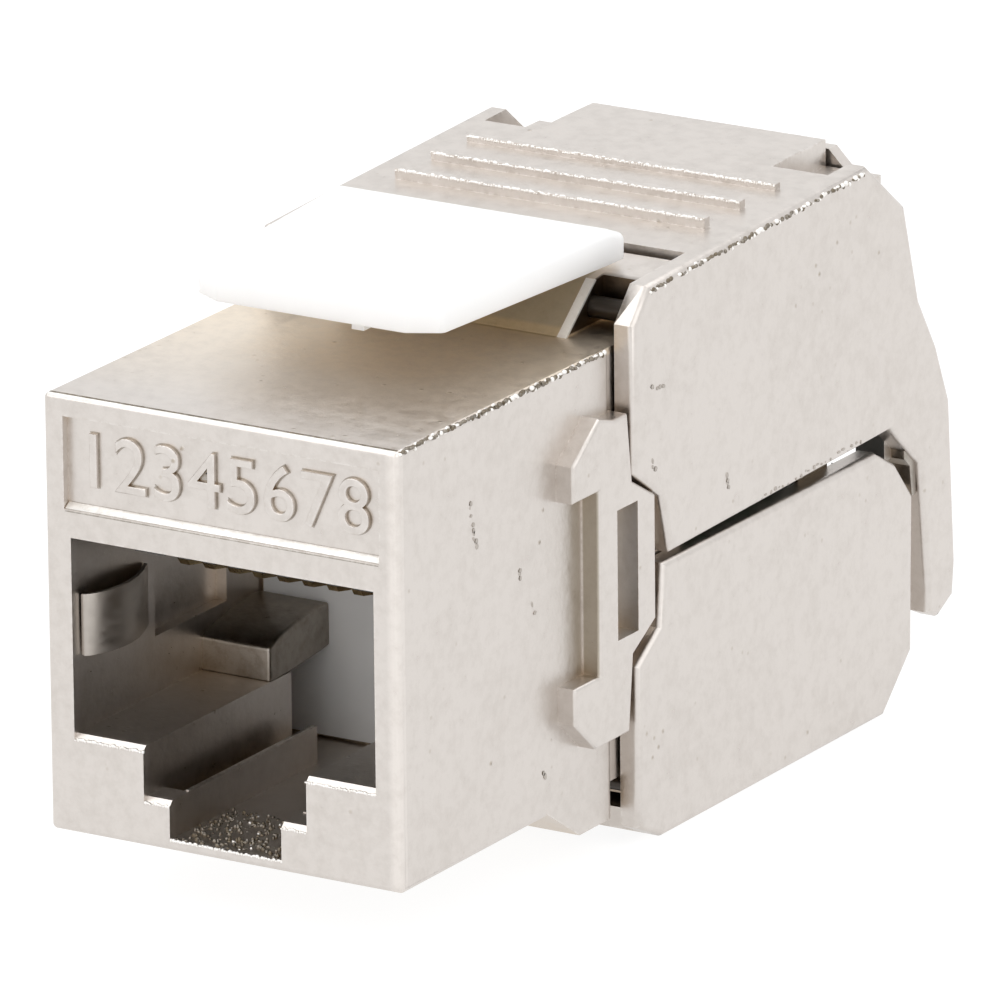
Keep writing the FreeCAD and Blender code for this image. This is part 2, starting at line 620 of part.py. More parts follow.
def makeGroundSprings():
    """Bowed strips that touch the shield of a plug."""
    wall = "portWidth / 2 - springSeat"
    for side, sign in sideSigns():
        body = newBody("ground_spring_" + side)
        # the strip bulges most near the front and runs out flat to the rear
        bow = [("springFront", "0"), ("springFront + 0.1 * springCrest", "0.62 * springBulge"),
               ("springFront + 0.35 * springCrest", "0.92 * springBulge"),
               ("springCrest", "springBulge"),
               ("(springCrest + springRear) / 2", "0.72 * springBulge"), ("springRear", "0")]
        outer = [(along, f"{wall} - {out}") for along, out in bow]
        inner = [(along, f"{wall} - {out} - springThick") for along, out in reversed(bow)]
        corners = [(f"{sign} * ({across})", along) for along, across in outer + inner]
        pad(body, "Z", "springBase", "springTop", "Strip" + side.title(), corners)


def makeBoard():
    return newBox("circuit_board",
                  ("boardWidth", "boardRear - boardFront", "boardThick"),
                  ("-boardWidth / 2", "boardFront", "-boardThick / 2"))


def wirePlace(index):
    return f"({index} - 1.5) * wirePitch"


def makeBlocks():
    """Upper and lower blocks on the board, each with four wire channels and four blades."""
    base = "boardThick / 2"
    top = f"{base} + blockHeight"
    for level, up in (("upper", 1), ("lower", -1)):
        body = newBody(level + "_idc_block")
        low, high = (base, top) if up == 1 else (f"-({top})", f"-({base})")
        pad(body, "Y", "blockFront", "blockRear", "Block", centred("blockWidth", low, high))
        channels, seats = [], []
        for index in range(4):
            middle = wirePlace(index)
            inner = f"{up} * ({top} - wireSlotDepth)"
            channels.append(rectangle(f"{middle} - wireSlot / 2", f"{middle} + wireSlot / 2",
                                      inner, f"{up} * ({top})"))
            half = "(bladeWidth / 2 + bladePlay)"
            seats.append(rectangle(f"{middle} - {half}", f"{middle} + {half}",
                                   "bladeStation - bladeThick / 2 - bladePlay",
                                   "bladeStation + bladeThick / 2 + bladePlay"))
        pocket(body, "Y", "blockFront", "blockRear", "WireChannels", *channels)
        floor = f"{base} + bladePlay"
        start, finish = (floor, top) if up == 1 else (f"-({top})", f"-({floor})")
        pocket(body, "Z", start, finish, "BladeSeats", *seats)
        makeBlades(up, base)


def makeBlades(up, base):
    first = 1 if up == 1 else 5
    for index in range(4):
        name = f"idc_contact_{first + index}"
        body = newBody(name)
        middle = wirePlace(index)
        foot = f"{up} * ({base} + bladePlay)"
        fork = [
            (f"{middle} - bladeWidth / 2", foot), (f"{middle} + bladeWidth / 2", foot),
            (f"{middle} + bladeWidth / 2", f"{up} * bladeTop"),
            (f"{middle} + bladeGap", f"{up} * bladeTop"),
            (f"{middle} + bladeGap / 2", f"{up} * (bladeTop - bladeGap)"),
            (f"{middle} + bladeGap / 2", f"{up} * bladeGapFloor"),
            (f"{middle} - bladeGap / 2", f"{up} * bladeGapFloor"),
            (f"{middle} - bladeGap / 2", f"{up} * (bladeTop - bladeGap)"),
            (f"{middle} - bladeGap", f"{up} * bladeTop"),
            (f"{middle} - bladeWidth / 2", f"{up} * bladeTop"),
        ]
        pad(body, "Y", "bladeStation - bladeThick / 2", "bladeStation + bladeThick / 2",
            "Blade" + str(first + index), fork)


def makeCaps():
    """Caps under the covers that press the wires into the blades."""
    low = "boardThick / 2 + blockHeight + capLift"
    rear = "notchFront - coverWall - capPlay"
    for level, up in (("upper", 1), ("lower", -1)):
        body = newBody(level + "_wire_cap")
        wall = "lidHeight - coverWall" if up == 1 else "lowerSole - coverWall"
        start, finish = (low, wall) if up == 1 else (f"-({wall})", f"-({low})")
        pad(body, "Y", "capFront", rear, "Cap", centred("capWidth", start, finish))
        channels, slits = [], []
        for index in range(4):
            middle = wirePlace(index)
            channels.append(rectangle(f"{middle} - capSlot / 2", f"{middle} + capSlot / 2",
                                      f"{up} * ({low})", f"{up} * ({low} + capSlotDepth)"))
            half = "(bladeWidth / 2 + bladePlay + capLift)"
            slits.append(rectangle(f"{middle} - {half}", f"{middle} + {half}",
                                   "bladeStation - capSlitFront", "bladeStation + capSlitRear"))
        pocket(body, "Y", "capFront", rear, "CapChannels", *channels)
        start, finish = (low, f"{low} + capSlitHeight")
        if up == -1:
            start, finish = f"-({finish})", f"-({start})"
        pocket(body, "Z", start, finish, "BladeSlits", *slits)


def checkDocument():
    doc.recompute()
    for item in doc.Objects:
        if "Invalid" in item.State or "Error" in item.State:
            raise ValueError(f"{item.Label} failed: {item.State}")
    for node in nodes:
        if node.Shape.isNull() or not node.Shape.isValid():
            raise ValueError(node.Label + " has no valid shape")


def exportNodes():
    os.makedirs("parts", exist_ok=True)
    for node in nodes:
        node.Shape.exportStep(f"parts/{node.Label}.step")
        print(node.Label, len(node.Shape.Solids), round(node.Shape.Volume, 3))


makeHousing()
makePins()
makeUpperCover()
makeLowerCover()
makeLatch()
makeCarrier()
makeComb()
makeContacts()
makeGroundSprings()
makeBoard()
makeBlocks()
makeCaps()
checkDocument()
exportNodes()
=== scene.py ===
import json
import math
import bmesh
import bpy
from mathutils import Matrix, Vector


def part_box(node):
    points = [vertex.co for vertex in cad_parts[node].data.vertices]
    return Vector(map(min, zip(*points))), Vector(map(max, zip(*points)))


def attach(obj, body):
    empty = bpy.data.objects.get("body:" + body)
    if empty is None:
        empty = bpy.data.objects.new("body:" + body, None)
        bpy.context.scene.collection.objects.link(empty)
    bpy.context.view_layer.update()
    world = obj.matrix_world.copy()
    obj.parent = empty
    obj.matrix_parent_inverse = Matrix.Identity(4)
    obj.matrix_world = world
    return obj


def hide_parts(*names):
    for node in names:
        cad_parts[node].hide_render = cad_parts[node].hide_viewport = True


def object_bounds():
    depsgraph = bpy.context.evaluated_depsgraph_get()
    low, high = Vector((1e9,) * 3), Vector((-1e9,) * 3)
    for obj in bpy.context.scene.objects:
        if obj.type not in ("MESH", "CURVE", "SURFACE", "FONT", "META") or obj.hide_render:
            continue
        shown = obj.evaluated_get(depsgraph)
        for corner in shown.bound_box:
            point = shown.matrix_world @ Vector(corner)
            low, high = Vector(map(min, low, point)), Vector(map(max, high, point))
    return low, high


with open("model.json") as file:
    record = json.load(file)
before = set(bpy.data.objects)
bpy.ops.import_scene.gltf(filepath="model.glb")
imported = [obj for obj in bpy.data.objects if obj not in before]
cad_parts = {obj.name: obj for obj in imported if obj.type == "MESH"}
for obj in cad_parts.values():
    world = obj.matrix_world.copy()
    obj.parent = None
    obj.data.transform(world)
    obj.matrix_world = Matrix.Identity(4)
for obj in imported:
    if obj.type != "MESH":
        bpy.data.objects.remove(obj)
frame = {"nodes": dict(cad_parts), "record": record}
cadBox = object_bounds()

mm = 0.001
scene = bpy.context.scene
scene.view_settings.view_transform = "Standard"


def newMaterial(name):
    material = bpy.data.materials.new(name)
    material.use_nodes = True
    tree = material.node_tree
    shader = next(node for node in tree.nodes if node.type == "BSDF_PRINCIPLED")
    return material, tree, shader


def plainNode(tree, identifier, links=None, **settings):
    # links gives an input, by name or number, another node's output or a fixed value
    node = tree.nodes.new(identifier)
    for key, value in settings.items():
        setattr(node, key, value)
    for key, value in (links or {}).items():
        socket = node.inputs[key]
        if isinstance(value, bpy.types.NodeSocket):
            tree.links.new(value, socket)
        else:
            socket.default_value = value
    return node


def addNode(tree, kind, links=None, **settings):
    return plainNode(tree, "ShaderNode" + kind, links, **settings)


def objectPlace(tree):
    return addNode(tree, "TexCoord").outputs["Object"]


def noise(tree, place, scale, detail=3.0, roughness=0.55):
    node = addNode(tree, "TexNoise", {"Vector": place, "Scale": scale, "Detail": detail,
                                      "Roughness": roughness})
    return node.outputs["Fac"]


def remap(tree, value, low, high, outLow, outHigh):
    node = addNode(tree, "MapRange", {"Value": value, "From Min": low, "From Max": high,
                                      "To Min": outLow, "To Max": outHigh})
    return node.outputs["Result"]


def spread(tree, value, outLow, outHigh):
    # stretches the middle of a noise, where most of its values lie, over the given range
    return remap(tree, value, 0.3, 0.7, outLow, outHigh)


def ramp(tree, value, stops):
    # a ramp of two stops, each a place and a colour
    node = addNode(tree, "ValToRGB", {"Fac": value})
    for element, (place, colour) in zip(node.color_ramp.elements, stops):
        element.position = place
        element.color = (*colour, 1.0)
    return node.outputs["Color"]


def mixColour(tree, factor, first, second, mode="MIX"):
    # the sockets go by number, because the node's sockets for other kinds share their names
    node = addNode(tree, "Mix", data_type="RGBA", blend_type=mode)
    for number, value in ((0, factor), (6, first), (7, second)):
        socket = node.inputs[number]
        if isinstance(value, bpy.types.NodeSocket):
            tree.links.new(value, socket)
        else:
            socket.default_value = value if isinstance(value, float) else (*value, 1.0)
    return node.outputs[2]


def calculate(tree, operation, first, second):
    return addNode(tree, "Math", {0: first, 1: second}, operation=operation).outputs[0]


def bump(tree, height, strength, distance, normal=None):
    links = {"Height": height, "Strength": strength, "Distance": distance}
    if normal is not None:
        links["Normal"] = normal
    return addNode(tree, "Bump", links).outputs["Normal"]


def edgeMask(tree, radius, low, high):
    # 1 on edges that the surface bends round within the radius, 0 on flats
    rounded = addNode(tree, "Bevel", {"Radius": radius}, samples=6).outputs["Normal"]
    flat = addNode(tree, "NewGeometry").outputs["True Normal"]
    dot = addNode(tree, "VectorMath", {0: rounded, 1: flat}, operation="DOT_PRODUCT")
    return remap(tree, dot.outputs["Value"], high, low, 0.0, 1.0)


def boxMask(tree, place, box):
    # 1 inside the box (mm), fading to 0 towards its sides
    axes = addNode(tree, "SeparateXYZ", {"Vector": place})
    mask = 1.0
    for axis in range(3):
        low, high, fade = (box[key][axis] * mm for key in ("low", "high", "fade"))
        value = axes.outputs[axis]
        mask = calculate(tree, "MULTIPLY", remap(tree, value, low, low + fade, 0.0, 1.0), mask)
        mask = calculate(tree, "MULTIPLY", remap(tree, value, high - fade, high, 1.0, 0.0), mask)
    return mask


def seenRays(tree):
    # 1 for rays that end in the picture, 0 for those that only light the object
    path = addNode(tree, "LightPath")
    mirrored = calculate(tree, "MAXIMUM", path.outputs["Is Glossy Ray"],
                         path.outputs["Is Transmission Ray"])
    return calculate(tree, "MAXIMUM", path.outputs["Is Camera Ray"], mirrored)


# noise scales are per metre, edge, reach and rises in metres, the rest are shares
nickelSizes = {
    "pale": (0.672, 0.630, 0.594), "deep": (0.605, 0.563, 0.526), "stain": (0.36, 0.30, 0.22),
    "wornAndLit": (0.93, 0.91, 0.88), "shade": (0.92, 0.82, 0.68), "metallic": 1.0,
    "cloud": 240.0, "mottle": 1900.0, "mottleShare": 0.8, "deepAt": 0.36, "paleAt": 0.56,
    "speck": 1500.0, "speckCore": 0.05, "speckRim": 0.16, "speckShade": 0.65,
    "patch": 330.0, "patchLow": 0.55, "patchHigh": 0.66,
    "edge": 0.00018, "edgeLow": 0.86, "edgeHigh": 0.99,
    "chip": 3400.0, "chipLow": 0.44, "chipHigh": 0.56, "rubbedAndLit": 0.25, "dull": 0.12,
    "reach": 0.005, "shadeLow": 0.05, "shadeHigh": 0.50, "roughLow": 0.27, "roughHigh": 0.40,
    "soft": 1100.0, "softBump": 0.45, "softRise": 0.00004,
    "grain": 5200.0, "grainBump": 0.35, "grainRise": 0.00002,
    "speckBump": 0.5, "speckRise": 0.00004,
}


def bothSides(tone):
    # the given box on the right, and its mirror image on the left
    low, high = tone["low"], tone["high"]
    return [tone, {**tone, "low": (-high[0], *low[1:]), "high": (-low[0], *high[1:])}]


# boxes (mm) in which the casting's colour differs by the tint
# painted shade: the casting is darker inside the port
portShadeTone = {"low": (-6.9, 0.25, -8.2), "high": (6.9, 12.6, 2.95), "fade": (0.1, 0.2, 0.1),
            "tint": (0.88, 0.87, 0.86)}
# painted reflection: paler and warmer along the top, towards the latch, where the top mirrors the
# latch's warm underside
topReflectionTone = {"low": (-7.2, 1.5, 7.7), "high": (7.2, 24.0, 8.3), "fade": (0.05, 9.5, 0.1),
           "tint": (1.27, 1.20, 1.06)}
# painted shade: darker and warmer on the neck under the latch
neckShadeTone = {"low": (-4.9, 14.3, 7.9), "high": (4.9, 17.3, 9.9), "fade": (0.1, 0.1, 0.1),
            "tint": (0.74, 0.71, 0.60)}
# painted highlight: pale beside the right edge of the face, where the rounded edge catches the
# light
faceHighlightTone = {"low": (6.7, -0.1, -8.1), "high": (7.4, 0.35, 8.1), "fade": (0.25, 0.02, 0.05),
            "tint": (1.14, 1.14, 1.14)}
# painted shade: the ears are dark on their front faces, and a little cooler in their windows
stemShadeTones = bothSides({"low": (7.28, 11.8, -3.6), "high": (7.96, 12.4, 3.6),
                       "fade": (0.05, 0.05, 0.3), "tint": (0.60, 0.57, 0.50)})
windowTones = bothSides({"low": (7.0, 13.25, -2.45), "high": (7.95, 14.75, 2.45),
                         "fade": (0.02, 0.03, 0.03), "tint": (0.97, 1.01, 1.06)})
# painted shade: the two pockets that hold the upper hinge pins are nearly black
pocketShadeTones = bothSides({"low": (5.15, 14.5, 8.05), "high": (6.95, 17.8, 9.7),
                         "fade": (0.05, 0.1, 0.05), "tint": (0.20, 0.17, 0.14)})
housingTones = [portShadeTone, topReflectionTone, neckShadeTone, faceHighlightTone, *stemShadeTones, *windowTones, *pocketShadeTones]


def makeNickel(name, sizes, tones=()):
    material, tree, shader = newMaterial(name)
    place = objectPlace(tree)
    cloud = noise(tree, place, sizes["cloud"], 2.0)
    mottle = noise(tree, place, sizes["mottle"], 6.0, 0.7)
    blend = calculate(tree, "ADD",
                      calculate(tree, "MULTIPLY", cloud, 1.0 - sizes["mottleShare"]),
                      calculate(tree, "MULTIPLY", mottle, sizes["mottleShare"]))
    colour = ramp(tree, blend, [(sizes["deepAt"], sizes["deep"]),
                                (sizes["paleAt"], sizes["pale"])])
    # scattered dark specks and small stains of the casting
    cells = addNode(tree, "TexVoronoi", {"Vector": place, "Scale": sizes["speck"]})
    dots = remap(tree, cells.outputs["Distance"], sizes["speckCore"], sizes["speckRim"], 1.0, 0.0)
    patches = remap(tree, noise(tree, place, sizes["patch"], 2.0), sizes["patchLow"],
                    sizes["patchHigh"], 0.0, 1.0)
    specks = calculate(tree, "MULTIPLY", dots, patches)
    colour = mixColour(tree, calculate(tree, "MULTIPLY", specks, sizes["speckShade"]), colour,
                       sizes["stain"])
    # bright along the edges, partly rubbed plating and partly painted highlight, with darker
    # chips between
    edge = edgeMask(tree, sizes["edge"], sizes["edgeLow"], sizes["edgeHigh"])
    chips = remap(tree, noise(tree, place, sizes["chip"], 3.0, 0.7), sizes["chipLow"],
                  sizes["chipHigh"], 0.0, 1.0)
    rubbedAndLit = calculate(tree, "MULTIPLY", edge, chips)
    dulled = calculate(tree, "MULTIPLY", edge, calculate(tree, "SUBTRACT", 1.0, chips))
    colour = mixColour(tree, calculate(tree, "MULTIPLY", rubbedAndLit, sizes["rubbedAndLit"]), colour,
                       sizes["wornAndLit"])
    colour = mixColour(tree, calculate(tree, "MULTIPLY", dulled, sizes["dull"]), colour,
                       sizes["stain"])
    # painted shade where other faces stand close: gaps, pockets and the inside of the port
    crowd = addNode(tree, "AmbientOcclusion", {"Distance": sizes["reach"]}, samples=8)
    openness = remap(tree, crowd.outputs["AO"], sizes["shadeLow"], sizes["shadeHigh"], 0.0, 1.0)
    tint = mixColour(tree, openness, sizes["shade"], (1.0, 1.0, 1.0))
    colour = mixColour(tree, 1.0, colour, tint, "MULTIPLY")
    # the tone boxes paint shade, highlight and reflection into the colour
    for tone in tones:
        colour = mixColour(tree, boxMask(tree, place, tone), colour,
                           mixColour(tree, 1.0, colour, tone["tint"], "MULTIPLY"))
    tree.links.new(colour, shader.inputs["Base Color"])
    shader.inputs["Metallic"].default_value = sizes["metallic"]
    tree.links.new(spread(tree, mottle, sizes["roughLow"], sizes["roughHigh"]),
                   shader.inputs["Roughness"])
    soft = noise(tree, place, sizes["soft"])
    grain = noise(tree, place, sizes["grain"], 3.0, 0.6)
    normal = bump(tree, soft, sizes["softBump"], sizes["softRise"])
    normal = bump(tree, grain, sizes["grainBump"], sizes["grainRise"], normal)
    normal = bump(tree, specks, sizes["speckBump"], sizes["speckRise"], normal)
    tree.links.new(normal, shader.inputs["Normal"])
    return material


plasticSizes = {
    "cloud": 260.0, "lowAt": 0.35, "highAt": 0.65, "tone": 1900.0, "grain": 7000.0,
    "smoothest": 0.85, "roughest": 1.15, "toneBump": 0.12, "toneRise": 0.00003,
    "grainBump": 0.15, "grainRise": 0.00001, "reach": (0.001, 0.001, 0.001), "reachScale": 2.0,
}


def makePlastic(name, low, high, rough, sizes, coat=0.0, scatter=0.0):
    material, tree, shader = newMaterial(name)
    place = objectPlace(tree)
    colour = ramp(tree, noise(tree, place, sizes["cloud"]),
                  [(sizes["lowAt"], low), (sizes["highAt"], high)])
    tree.links.new(colour, shader.inputs["Base Color"])
    tone = noise(tree, place, sizes["tone"])
    tree.links.new(spread(tree, tone, rough * sizes["smoothest"], rough * sizes["roughest"]),
                   shader.inputs["Roughness"])
    grain = noise(tree, place, sizes["grain"], 2.0)
    normal = bump(tree, tone, sizes["toneBump"], sizes["toneRise"])
    normal = bump(tree, grain, sizes["grainBump"], sizes["grainRise"], normal)
    tree.links.new(normal, shader.inputs["Normal"])
    shader.inputs["Coat Weight"].default_value = coat
    shader.inputs["Subsurface Weight"].default_value = scatter
    shader.inputs["Subsurface Radius"].default_value = sizes["reach"]
    shader.inputs["Subsurface Scale"].default_value = sizes["reachScale"]
    return material


drawnSizes = {
    "line": 3000.0, "lineShare": 0.5, "lowAt": 0.2, "highAt": 0.6, "cloud": 500.0,
    "cloudShade": 0.35, "smoothest": 0.8, "roughest": 1.25, "bump": 0.15, "rise": 0.00001,
}


def makeDrawn(name, low, high, rough, streak, sizes):
    # rolled or drawn metal, with fine lines along the axis whose streak is smallest
    material, tree, shader = newMaterial(name)
    place = objectPlace(tree)
    stretched = addNode(tree, "Mapping", {"Vector": place, "Scale": streak})
    lines = noise(tree, stretched.outputs["Vector"], sizes["line"])
    share = calculate(tree, "MULTIPLY", lines, sizes["lineShare"])
    colour = ramp(tree, calculate(tree, "ADD", share, 1.0 - sizes["lineShare"]),
                  [(sizes["lowAt"], low), (sizes["highAt"], high)])
    cloud = noise(tree, place, sizes["cloud"])
    colour = mixColour(tree, calculate(tree, "MULTIPLY", cloud, sizes["cloudShade"]), colour, low)
    tree.links.new(colour, shader.inputs["Base Color"])
    shader.inputs["Metallic"].default_value = 1.0
    tree.links.new(spread(tree, lines, rough * sizes["smoothest"], rough * sizes["roughest"]),
                   shader.inputs["Roughness"])
    tree.links.new(bump(tree, lines, sizes["bump"], sizes["rise"]), shader.inputs["Normal"])
    return material


# a paler, less metallic copy of the casting for bright rims and beads: painted highlight, partly
# rubbed plating
brightSizes = {**nickelSizes, "pale": (0.95, 0.93, 0.90), "deep": (0.86, 0.83, 0.79),
               "shade": (1.0, 1.0, 1.0), "metallic": 0.6}
shadowedSizes = {**nickelSizes, "pale": (0.40, 0.365, 0.325), "deep": (0.29, 0.26, 0.225)}
# a dark copy of the casting: tarnish on worn edges and grains, painted shade in the gap webs
tarnishAndShadeSizes = {**nickelSizes, "pale": (0.21, 0.175, 0.13), "deep": (0.10, 0.08, 0.055),
                "roughLow": 0.45, "roughHigh": 0.65}
coverSizes = {**nickelSizes, "mottle": 1700.0, "cloud": 190.0, "edge": 0.00022, "dull": 0.15,
              "shade": (0.90, 0.88, 0.86)}
finishes = {
    "nickel": makeNickel("satinNickelCasting", nickelSizes, housingTones),
    "bright": makeNickel("rubbedAndLitNickel", brightSizes),
    "shadowed": makeNickel("shadowedNickel", shadowedSizes, [portShadeTone]),
    "tarnishAndShade": makeNickel("tarnishedAndShadedNickel", tarnishAndShadeSizes),
    "cover": makeNickel("satinNickelCover", coverSizes, pocketShadeTones),
    # painted shade: the hinge pins are nearly black, as they sit in the shaded pockets
    "steel": makeDrawn("shadedHingeSteel", (0.02, 0.017, 0.014), (0.06, 0.052, 0.045), 0.35,
                       (0.2, 1.0, 1.0), drawnSizes),
    "spring": makeDrawn("springSteel", (0.40, 0.365, 0.325), (0.49, 0.45, 0.41), 0.42,
                        (1.0, 0.2, 1.0), drawnSizes),
    # painted shade: the gold is darkened, as the contacts lie in shade
    "gold": makeDrawn("shadedGoldSpring", (0.22, 0.16, 0.08), (0.36, 0.27, 0.14), 0.28,
                      (1.0, 0.2, 1.0), drawnSizes),
    "tin": makeDrawn("tinPlatedBlade", (0.50, 0.50, 0.48), (0.78, 0.78, 0.75), 0.3,
                     (1.0, 1.0, 0.2), drawnSizes),
    "white": makePlastic("whiteLatchPlastic", (0.91, 0.91, 0.91), (0.93, 0.93, 0.93), 0.34,
                         plasticSizes, 0.1, 0.5),
    "liner": makePlastic("greyLinerPlastic", (0.84, 0.835, 0.83), (0.90, 0.895, 0.89), 0.38,
                         plasticSizes),
    "grey": makePlastic("greyCapPlastic", (0.30, 0.30, 0.30), (0.36, 0.36, 0.36), 0.5,
                        plasticSizes),
    "dark": makePlastic("darkCarrierPlastic", (0.030, 0.029, 0.028), (0.05, 0.049, 0.047), 0.5,
                        plasticSizes),
    "board": makePlastic("boardMask", (0.015, 0.10, 0.045), (0.03, 0.16, 0.07), 0.35,
                         plasticSizes, 0.3),
}
print("finishes made")


slotFinish = {
    "nickel": "nickel", "steel": "steel", "spring_steel": "spring", "gold": "gold", "tin": "tin",
    "white_plastic": "white", "grey_plastic": "grey", "dark_plastic": "dark", "board": "board",
}
# the width (metres) and the segments of the rounded edges
softEdges = {"front_housing": (0.00010, 2), "upper_cover": (0.00009, 2),
             "lower_cover": (0.00009, 2), "panel_latch": (0.00042, 4)}
# vertices closer than the weld (metres) are joined, edges over the angle (degrees) rounded
edgeSizes = {"weld": 1e-6, "angle": 35}


def finishNode(part, material, soften, sizes):
    for slot in part.material_slots:
        slot.material = material
    if not part.material_slots:
        part.data.materials.append(material)
    if soften:
        weld = part.modifiers.new("Weld", "WELD")
        weld.merge_threshold = sizes["weld"]
        bevel = part.modifiers.new("Bevel", "BEVEL")
        bevel.width, bevel.segments = soften
        bevel.limit_method = "ANGLE"
        bevel.angle_limit = math.radians(sizes["angle"])


for entry in frame["record"]["subparts"]:
    name = entry["node"]
    finish = slotFinish[entry["material_slot"]]
    if name in ("upper_cover", "lower_cover"):
        finish = "cover"
    finishNode(frame["nodes"][name], finishes[finish], softEdges.get(name), edgeSizes)
print("parts finished")


def finishPiece(name, mesh, material, body, sharpAngle):
    # edges that turn by more than the angle (degrees) stay sharp
    piece = bpy.data.objects.new(name, mesh)
    scene.collection.objects.link(piece)
    mesh.materials.clear()
    mesh.materials.append(material)
    for face in mesh.polygons:
        face.use_smooth = True
    mesh.set_sharp_from_angle(angle=math.radians(sharpAngle))
    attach(piece, body)
    return piece


def joinRings(build, near, far):
    # a closed prism between two rings of as many corners
    build.faces.new(near)
    build.faces.new(list(reversed(far)))
    count = len(near)
    for index in range(count):
        following = (index + 1) % count
        build.faces.new([near[index], far[index], far[following], near[following]])


def extrudeAlongX(outlines, spans):
    # outlines are lists of (Y, Z) in mm, spans the matching (left, right) in mm
    build = bmesh.new()
    for outline, (left, right) in zip(outlines, spans):
        near = [build.verts.new((left * mm, y * mm, z * mm)) for y, z in outline]
        far = [build.verts.new((right * mm, y * mm, z * mm)) for y, z in outline]
        joinRings(build, near, far)
    bmesh.ops.recalc_face_normals(build, faces=build.faces)
    return build


def toMesh(build, name):
    mesh = bpy.data.meshes.new(name)
    build.to_mesh(mesh)
    build.free()
    return mesh


def bevelAll(build, width, segments, angle=30):
    # rounds the edges that turn by more than the angle (degrees); the width is in mm
    edges = [edge for edge in build.edges if edge.calc_face_angle(0.0) > math.radians(angle)]
    bmesh.ops.bevel(build, geom=edges, offset=width * mm, segments=segments, profile=0.6,
                    affect="EDGES", clamp_overlap=True)


digitSizes = {
    "count": 8, "height": 2.0, "capShare": 0.7, "pitch": 1.52, "centre": 5.62, "floor": 0.32,
    "rise": 0.14, "round": 0.03, "roundSteps": 2, "stroke": 0.02, "rootRise": 0.015,
    "rootStroke": -0.05, "merge": 1e-7,
}


def digitMesh(name, sizes, rise, rounding, stroke):
    build = bmesh.new()
    middle = (sizes["count"] - 1) / 2
    stand = Matrix.Rotation(math.radians(90), 4, "X")
    for index in range(sizes["count"]):
        curve = bpy.data.curves.new("digit", "FONT")
        curve.body = str(index + 1)
        curve.align_x = "CENTER"
        curve.align_y = "CENTER"
        curve.size = sizes["height"] / sizes["capShare"] * mm
        curve.extrude = rise * mm
        curve.bevel_depth = rounding * mm
        curve.bevel_resolution = sizes["roundSteps"]
        curve.offset = -stroke * mm
        text = bpy.data.objects.new("digit", curve)
        scene.collection.objects.link(text)
        bpy.context.view_layer.update()
        evaluated = text.evaluated_get(bpy.context.evaluated_depsgraph_get())
        mesh = bpy.data.meshes.new_from_object(evaluated)
        across = (index - middle) * sizes["pitch"] * mm
        mesh.transform(Matrix.Translation((across, sizes["floor"] * mm,
                                           sizes["centre"] * mm)) @ stand)
        build.from_mesh(mesh)
        bpy.data.objects.remove(text)
        bpy.data.curves.remove(curve)
        bpy.data.meshes.remove(mesh)
    bmesh.ops.remove_doubles(build, verts=build.verts, dist=sizes["merge"])
    bmesh.ops.recalc_face_normals(build, faces=build.faces)
    return toMesh(build, name)


def makeDigits(sizes):
    # raised numbers of the eight contacts, and a painted shadow outline round their feet
    raised = digitMesh("contactNumbers", sizes, sizes["rise"], sizes["round"], sizes["stroke"])
    finishPiece("contactNumbers", raised, finishes["nickel"], "housing", 30)
    roots = digitMesh("numberRoots", sizes, sizes["rootRise"], 0.0, sizes["rootStroke"])
    finishPiece("numberRoots", roots, finishes["shadowed"], "housing", 30)


lipSizes = {
    "faceRim": {"profile": [(0.03, 7.88), (0.03, 7.94), (0.08, 7.99), (0.15, 8.01), (0.17, 7.96)],
                "half": 7.1, "round": 0.01},
    "panelLip": {"profile": [(0.04, 3.88), (0.30, 4.04), (0.30, 4.08), (0.03, 3.91)],
                 "half": 6.42, "round": 0.01},
    "panelLipLine": {"profile": [(-0.008, 3.78), (-0.008, 3.83), (0.02, 3.83), (0.02, 3.78)],
                     "half": 6.42, "round": 0.01},
    "faceRimLine": {"profile": [(0.18, 7.98), (0.18, 8.014), (0.29, 8.014), (0.29, 7.98)],
                    "half": 7.1, "round": 0.01},
}


def makeFrontLips(sizes):
    # bright rim along the top of the face and bright lip under the number panel, painted
    # highlights partly of rubbed plating, with painted shade under the lip and a dark line behind
    # the rim
    for name, finish in (("faceRim", "bright"), ("panelLip", "bright"),
                         ("panelLipLine", "shadowed"), ("faceRimLine", "tarnishAndShade")):
        lip = sizes[name]
        build = extrudeAlongX([lip["profile"]], [(-lip["half"], lip["half"])])
        bevelAll(build, lip["round"], 1)
        finishPiece(name, toMesh(build, name), finishes[finish], "housing", 40)


def makePair(name, sizes, finish, body):
    # the same profile on the right and on the left, stretched from inner to outer along X
    spans = [(sizes["inner"], sizes["outer"]), (-sizes["outer"], -sizes["inner"])]
    build = extrudeAlongX([sizes["profile"]] * 2, spans)
    bevelAll(build, sizes["round"], sizes["steps"])
    finishPiece(name, toMesh(build, name), finishes[finish], body, 40)


# raised steps at the rear of the two ledges beside the latch channel
stepSizes = {
    "profile": [(8.3, -4.4), (8.3, -3.1), (9.0, -2.85), (10.2, -2.6), (11.6, -2.45), (12.3, -2.5),
                (12.3, -4.1), (11.4, -4.2), (9.7, -4.35)],
    "inner": 3.35, "outer": 6.75, "round": 0.12, "steps": 3,
}
# lighter crests of the two rails between the channel grooves and the key slot, free of the port's
# painted shade: a painted highlight
railSizes = {
    "profile": [(1.35, -6.22), (1.35, -6.17), (9.6, -6.17), (9.6, -6.22)],
    "inner": 2.36, "outer": 2.48, "round": 0.01, "steps": 2,
}
# bright rims of the two walls beside the hinge pockets: painted highlight along the lit slant,
# partly rubbed plating
cheekSizes = {
    "profile": [(14.42, 8.0), (16.46, 9.66), (16.55, 9.6), (14.55, 7.99)],
    "inner": 4.88, "outer": 5.27, "round": 0.02, "steps": 2,
}
